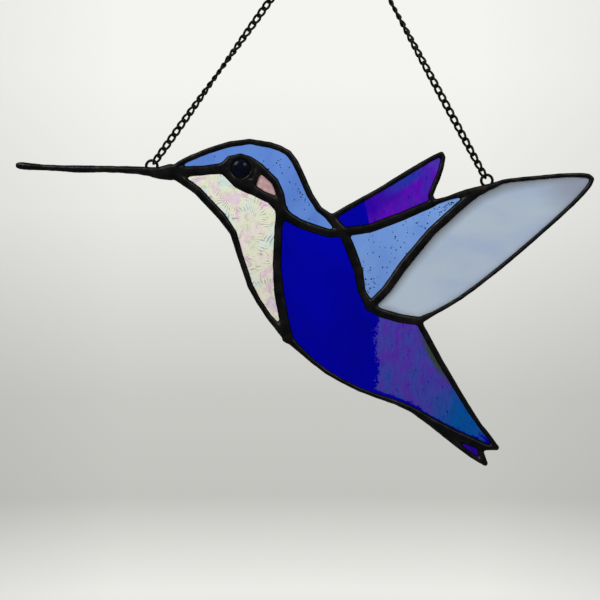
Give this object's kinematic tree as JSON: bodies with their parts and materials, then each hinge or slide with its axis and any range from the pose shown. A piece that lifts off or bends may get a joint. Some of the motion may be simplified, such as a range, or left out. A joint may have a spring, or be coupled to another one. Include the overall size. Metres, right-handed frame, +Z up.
{
  "type": "stained glass suncatcher",
  "caption": "Hummingbird suncatcher of leaded glass panes with a long wire beak, hung by a fine curb chain from soldered rings.",
  "frame": {"origin": "hang point: where a hook bears inside the top of the hanging ring", "axes": "+Z up; the bird lies in the XZ plane, its beak towards -X and its front towards -Y"},
  "size_m": [0.2803, 0.0073, 0.2775],
  "materials": {
    "solder": "tin solder with black patina, satin",
    "black_wire": "black steel wire, satin",
    "sky_glass": "light blue transparent glass with seeds",
    "clear_glass": "clear iridescent glass with pressed ridges",
    "pink_glass": "pale pink glass",
    "cobalt_glass": "cobalt glass with an iridised face",
    "opal_glass": "wispy blue-white opal glass",
    "purple_glass": "deep violet glass",
    "black_glass": "black glass gem, fire polished"
  },
  "bodies": {
    "root": {"solder_seams": "solder", "beak": "solder", "eye_gem": "black_glass", "crown_glass": "sky_glass", "throat_glass": "clear_glass", "cheek_glass": "pink_glass", "body_glass": "cobalt_glass", "far_wing_glass": "cobalt_glass", "shoulder_glass": "sky_glass", "wing_glass": "opal_glass", "tail_glass": "purple_glass", "ring_left": "black_wire", "ring_right": "black_wire", "hanging_ring": "black_wire", "chain_left": "black_wire", "chain_right": "black_wire"}
  },
  "joints": []
}
